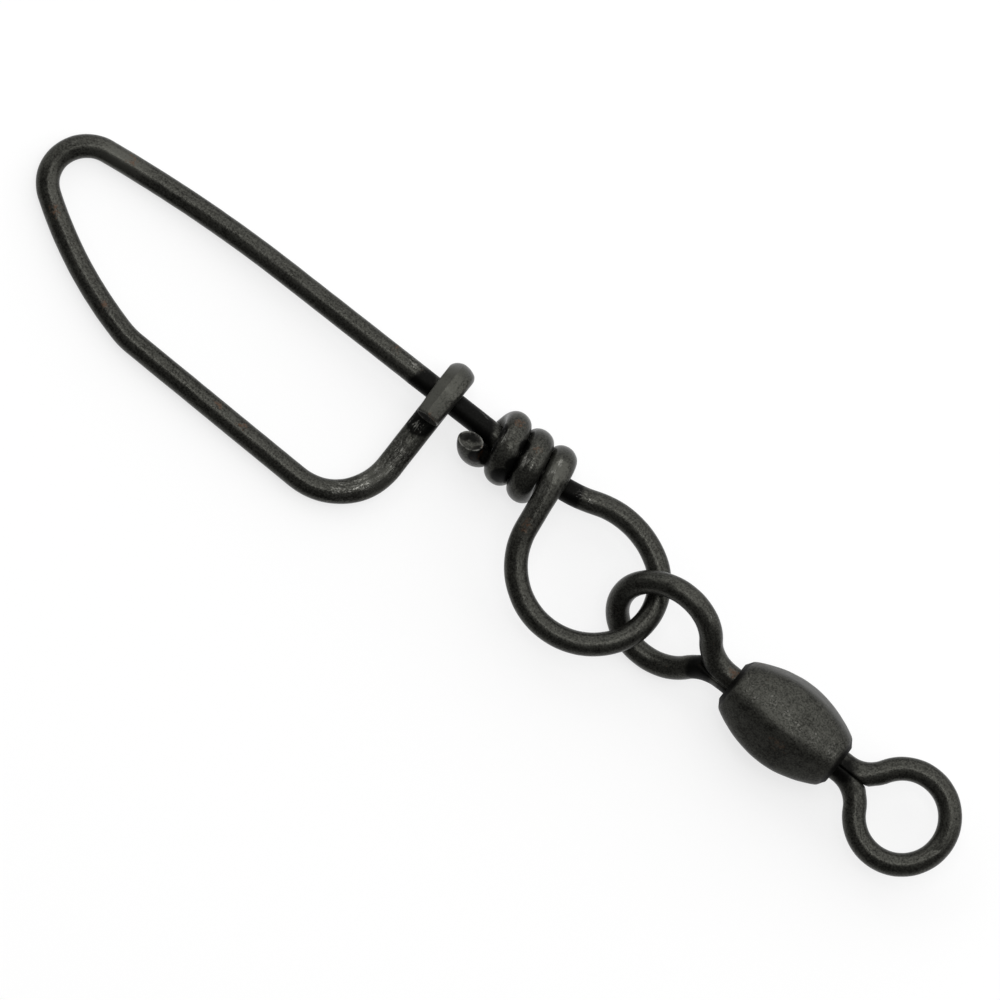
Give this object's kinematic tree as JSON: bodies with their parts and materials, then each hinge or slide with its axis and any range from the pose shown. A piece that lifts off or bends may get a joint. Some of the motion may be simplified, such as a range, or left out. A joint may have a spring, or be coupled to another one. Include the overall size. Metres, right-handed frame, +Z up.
{
  "type": "fishing snap swivel",
  "caption": "Bent wire fishing snap whose wrapped loop is linked to a barrel swivel with an eye at each end",
  "frame": {"origin": "on the surface it lies on, under the middle of the bounding box", "axes": "+X along the swivel's turning axis towards the line eye, +Y towards the straight leg, +Z up out of the surface"},
  "size_m": [0.095, 0.017, 0.0082],
  "materials": {
    "snap_wire": "worn black oxide",
    "snap_side_eye": "worn black oxide",
    "swivel_barrel": "dull black oxide",
    "line_side_eye": "worn black oxide"
  },
  "bodies": {
    "snap": {"snap_wire": "snap_wire"},
    "snap_eye": {"snap_side_eye": "snap_side_eye"},
    "barrel": {"swivel_barrel": "swivel_barrel"},
    "line_eye": {"line_side_eye": "line_side_eye"}
  },
  "joints": [
    {"name": "link_hinge", "type": "hinge", "parent": "snap", "child": "snap_eye", "pos_m": [0.01576, 0.00105, 0.00396], "axis": [0, 0.9063, -0.4226], "range_deg": [-120, 120]},
    {"name": "barrel_turn", "type": "hinge", "parent": "snap_eye", "child": "barrel", "pos_m": [0.03014, 0.00146, 0.00401], "axis": [1, 0, 0], "continuous": true},
    {"name": "line_eye_turn", "type": "hinge", "parent": "barrel", "child": "line_eye", "pos_m": [0.03448, 0.00146, 0.00401], "axis": [1, 0, 0], "continuous": true}
  ]
}
